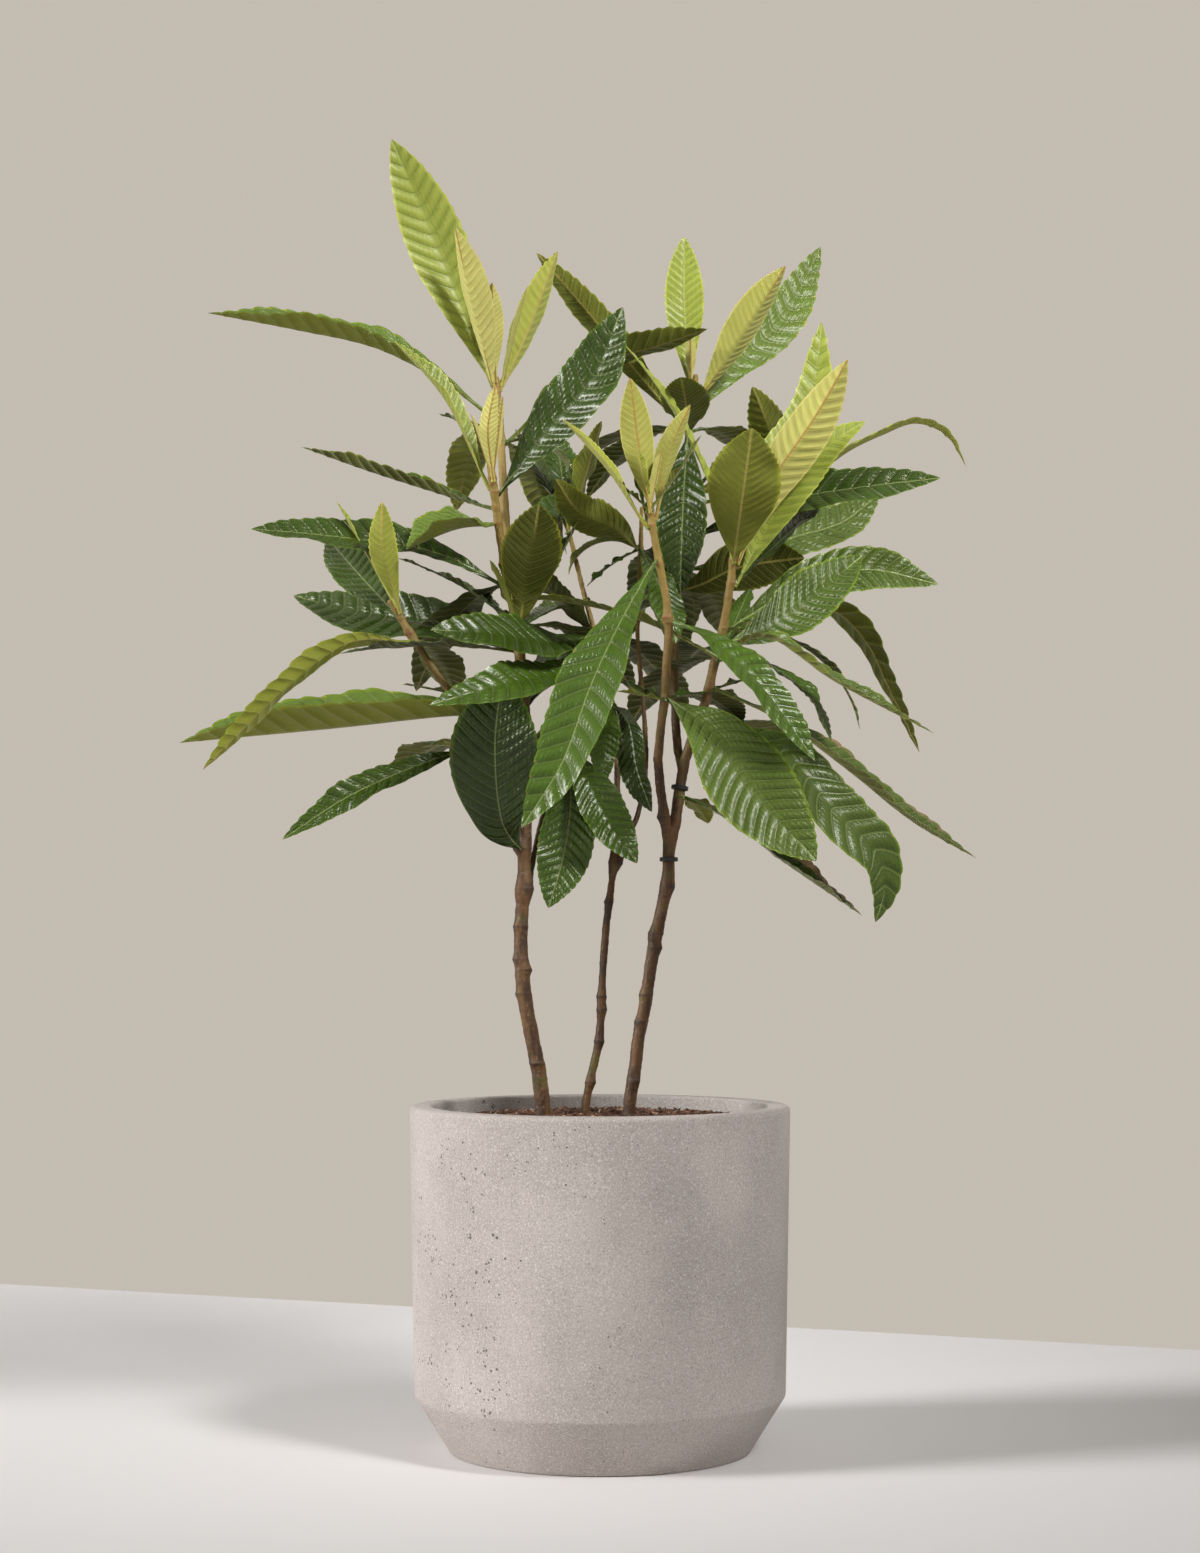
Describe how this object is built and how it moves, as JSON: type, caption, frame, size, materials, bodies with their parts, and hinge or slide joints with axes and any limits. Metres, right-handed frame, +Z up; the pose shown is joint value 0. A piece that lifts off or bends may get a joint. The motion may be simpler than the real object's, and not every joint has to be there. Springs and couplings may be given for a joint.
{
  "type": "potted loquat plant",
  "caption": "Loquat plant with three bare stems and long toothed leaves in rosettes, standing in a round concrete-look planter with bark-chip soil.",
  "frame": {"origin": "centre of the pot's flat underside", "axes": "+Z up along the pot's axis, +X to the right, +Y away from the front"},
  "size_m": [0.5457, 0.3314, 0.9053],
  "materials": {
    "pot": "matte",
    "soil": "matte",
    "bark": "matte",
    "tie": "matte",
    "old_leaf": "satin",
    "mature_leaf": "satin",
    "young_leaf": "matte",
    "bud_leaf": "matte"
  },
  "bodies": {
    "root": {"pot": "pot", "left_stem": "bark", "middle_stem": "bark", "right_stem": "bark", "soil": "soil", "lower_tie": "tie", "upper_tie": "tie", "leaf_left_tall_1": "young_leaf", "leaf_left_tall_2": "bud_leaf", "leaf_left_tall_3": "bud_leaf", "leaf_left_tall_4": "young_leaf", "leaf_left_tall_5": "mature_leaf", "leaf_left_tall_6": "mature_leaf", "leaf_left_front_1": "young_leaf", "leaf_left_front_2": "bud_leaf", "leaf_left_front_3": "old_leaf", "leaf_left_front_4": "mature_leaf", "leaf_left_front_5": "mature_leaf", "leaf_left_front_6": "old_leaf", "leaf_left_trunk_1": "mature_leaf", "leaf_left_trunk_2": "old_leaf", "leaf_left_trunk_3": "old_leaf", "leaf_left_trunk_4": "mature_leaf", "leaf_left_low_1": "young_leaf", "leaf_left_low_2": "old_leaf", "leaf_left_low_3": "mature_leaf", "leaf_left_low_4": "old_leaf", "leaf_left_inner_1": "old_leaf", "leaf_left_inner_2": "old_leaf", "leaf_middle_1": "old_leaf", "leaf_middle_2": "old_leaf", "leaf_middle_3": "old_leaf", "leaf_middle_4": "mature_leaf", "leaf_right_front_1": "bud_leaf", "leaf_right_front_2": "bud_leaf", "leaf_right_front_3": "bud_leaf", "leaf_right_front_4": "old_leaf", "leaf_right_front_5": "old_leaf", "leaf_right_front_6": "mature_leaf", "leaf_right_outer_1": "mature_leaf", "leaf_right_outer_2": "mature_leaf", "leaf_right_outer_3": "young_leaf", "leaf_right_outer_4": "bud_leaf", "leaf_right_outer_5": "young_leaf", "leaf_right_outer_6": "young_leaf", "leaf_right_outer_7": "old_leaf", "leaf_right_outer_8": "mature_leaf", "leaf_right_outer_9": "mature_leaf", "leaf_right_outer_10": "mature_leaf", "leaf_right_outer_11": "mature_leaf", "leaf_right_outer_12": "mature_leaf", "leaf_right_outer_13": "mature_leaf", "leaf_right_outer_14": "mature_leaf", "leaf_right_outer_15": "old_leaf", "leaf_right_back_1": "young_leaf", "leaf_right_back_2": "bud_leaf", "leaf_right_back_3": "mature_leaf", "leaf_right_back_4": "mature_leaf", "leaf_right_back_5": "mature_leaf", "leaf_right_back_6": "mature_leaf"}
  },
  "joints": []
}
